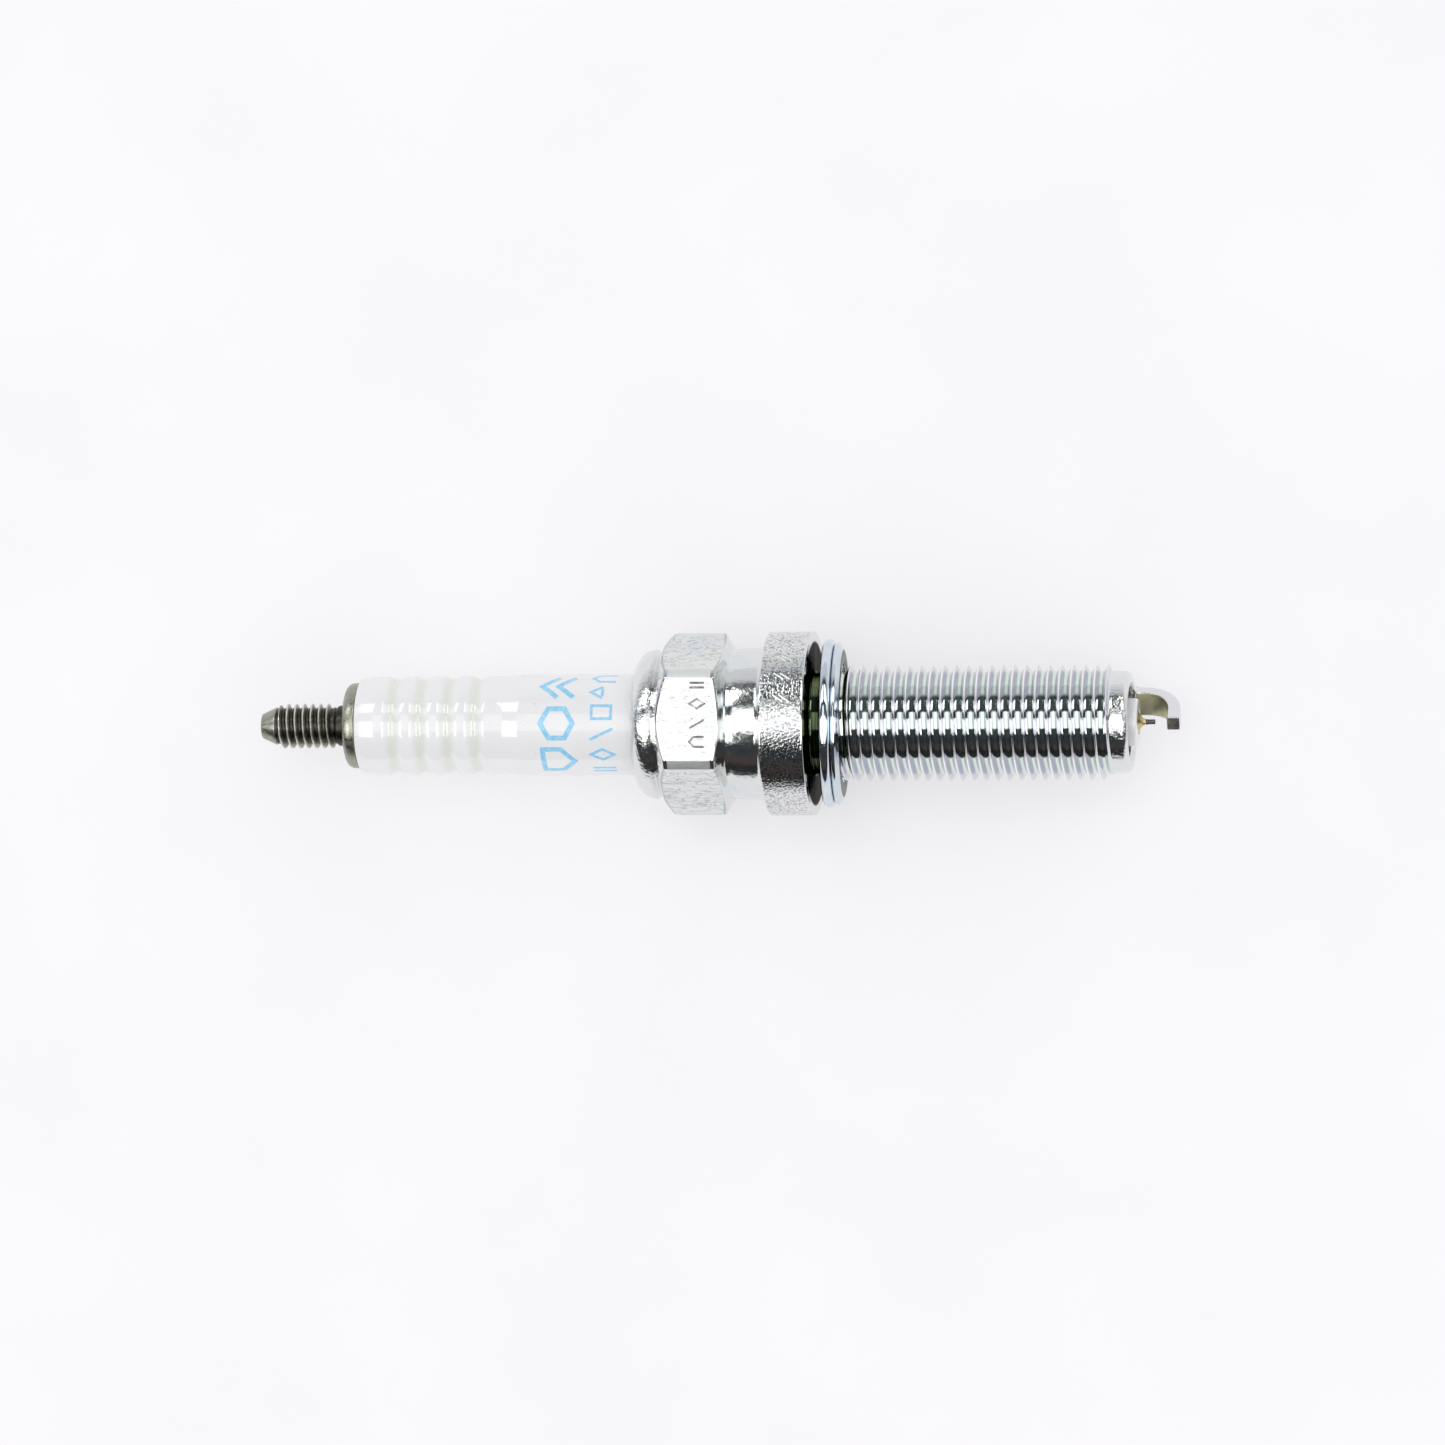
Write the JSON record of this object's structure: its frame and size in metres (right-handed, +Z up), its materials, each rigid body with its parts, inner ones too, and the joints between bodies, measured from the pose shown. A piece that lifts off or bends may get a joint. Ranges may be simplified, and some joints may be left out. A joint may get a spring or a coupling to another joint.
{
  "type": "spark plug",
  "caption": "Long-reach spark plug with threaded steel shell, hexagon, ribbed white insulator, bare threaded terminal stud, fine wire tip, ground strap and a loose folded gasket.",
  "frame": {"origin": "under the middle of the plug, on the surface that the shell's flange touches when the plug lies on its side", "axes": "+X along the plug's axis towards the firing end, +Z up, with two of the hexagon's flats facing up and down"},
  "size_m": [0.079, 0.0156, 0.0157],
  "materials": {
    "shell_zinc": "bright zinc plating",
    "gasket_zinc": "bright zinc plating, rolled",
    "terminal_steel": "dark oiled steel",
    "insulator_glaze": "clear gloss glaze over white alumina",
    "electrode_nickel": "drawn nickel alloy",
    "core_copper": "drawn copper",
    "tip_iridium": "laser-welded iridium",
    "seal_glass": "fused glass and copper powder",
    "resistor_carbon": "sintered carbon and glass",
    "filler_talc": "pressed powder",
    "packing_steel": "plain steel wire and sheet"
  },
  "bodies": {
    "plug": {"metal_shell": "shell_zinc", "ground_electrode": "electrode_nickel", "insulator": "insulator_glaze", "terminal_stud": "terminal_steel", "upper_glass_seal": "seal_glass", "resistor": "resistor_carbon", "lower_glass_seal": "seal_glass", "center_electrode": "electrode_nickel", "copper_core": "core_copper", "iridium_tip": "tip_iridium", "talc_filler": "filler_talc", "upper_packing_ring": "packing_steel", "lower_packing_ring": "packing_steel", "seat_packing": "packing_steel"},
    "gasket": {"sealing_gasket": "gasket_zinc"}
  },
  "joints": [
    {"name": "gasket_slide", "type": "slide", "parent": "plug", "child": "gasket", "axis": [1, 0, 0], "range_m": [-0.0003, 0.0004]}
  ]
}
